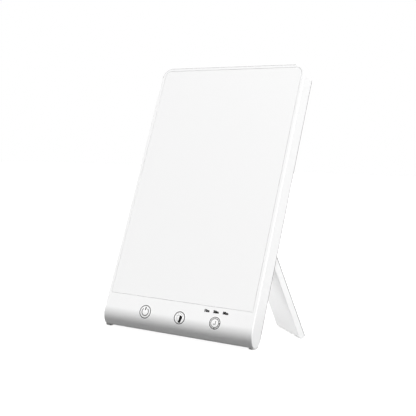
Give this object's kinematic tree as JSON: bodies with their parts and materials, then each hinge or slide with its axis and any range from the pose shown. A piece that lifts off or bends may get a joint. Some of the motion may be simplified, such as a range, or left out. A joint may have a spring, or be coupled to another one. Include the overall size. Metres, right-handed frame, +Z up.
{
  "type": "light therapy lamp",
  "caption": "Slim edge-lit light therapy lamp: a white diffuser panel with touch keys on its lower strip, leaning back on a flat fold-out leg hinged on a diagonal behind it.",
  "frame": {"origin": "centre of the standing lamp's footprint box, on the table, with the leg open", "axes": "+Z up, +X to the right of someone looking at the light field, +Y towards the back; the panel leans back towards +Y"},
  "size_m": [0.1698, 0.1103, 0.2411],
  "materials": {
    "housing_white": "satin moulded white",
    "opal_diffuser": "matt opal, translucent",
    "diffusion_film": "frosted film",
    "clear_acrylic": "clear, polished",
    "reflector_white": "matt white",
    "sheet_aluminium": "mill finish",
    "lamp_bar": "white solder mask",
    "phosphor_yellow": "phosphor over a white package",
    "board_green": "solder mask",
    "black_plastic": "matt",
    "contact_foam": "conductive foam",
    "copper_winding": "enamelled wire",
    "can_aluminium": "drawn can",
    "ivory_plastic": "matt",
    "screw_steel": "zinc plated",
    "hinge_steel": "ground",
    "brass_spacer": "turned",
    "wire_red": "insulated wire",
    "foot_rubber": "matt grey",
    "strip_rubber": "matt white"
  },
  "bodies": {
    "housing": {"front_frame": "housing_white", "diffuser_panel": "opal_diffuser", "diffusion_film": "diffusion_film", "light_guide": "clear_acrylic", "reflector_sheet": "reflector_white", "back_plate": "sheet_aluminium", "plate_screws": "screw_steel", "led_bar": "lamp_bar", "led_packages": "phosphor_yellow", "led_lead": "wire_red", "control_board": "board_green", "control_chip": "black_plastic", "driver_inductor": "copper_winding", "capacitors": "can_aluminium", "board_connectors": "ivory_plastic", "board_screws": "screw_steel", "touch_pads": "contact_foam", "timer_lights": "phosphor_yellow", "dc_inlet": "black_plastic", "inlet_pin": "screw_steel", "inlet_lead": "wire_red", "cover_spacers": "brass_spacer", "back_cover": "housing_white", "cover_screws": "screw_steel", "front_feet": "foot_rubber", "hinge_plate": "hinge_steel", "hinge_screws": "screw_steel", "hinge_pin": "hinge_steel", "hinge_washers": "hinge_steel"},
    "leg": {"leg_shell": "housing_white", "leg_cover": "housing_white", "leg_screws": "screw_steel", "leg_foot": "strip_rubber"}
  },
  "joints": [
    {"name": "leg_hinge", "type": "hinge", "parent": "housing", "child": "leg", "pos_m": [0.04056, -0.00083, 0.09023], "axis": [0.7071, -0.2673, -0.6547], "range_deg": [-60, 0]}
  ]
}
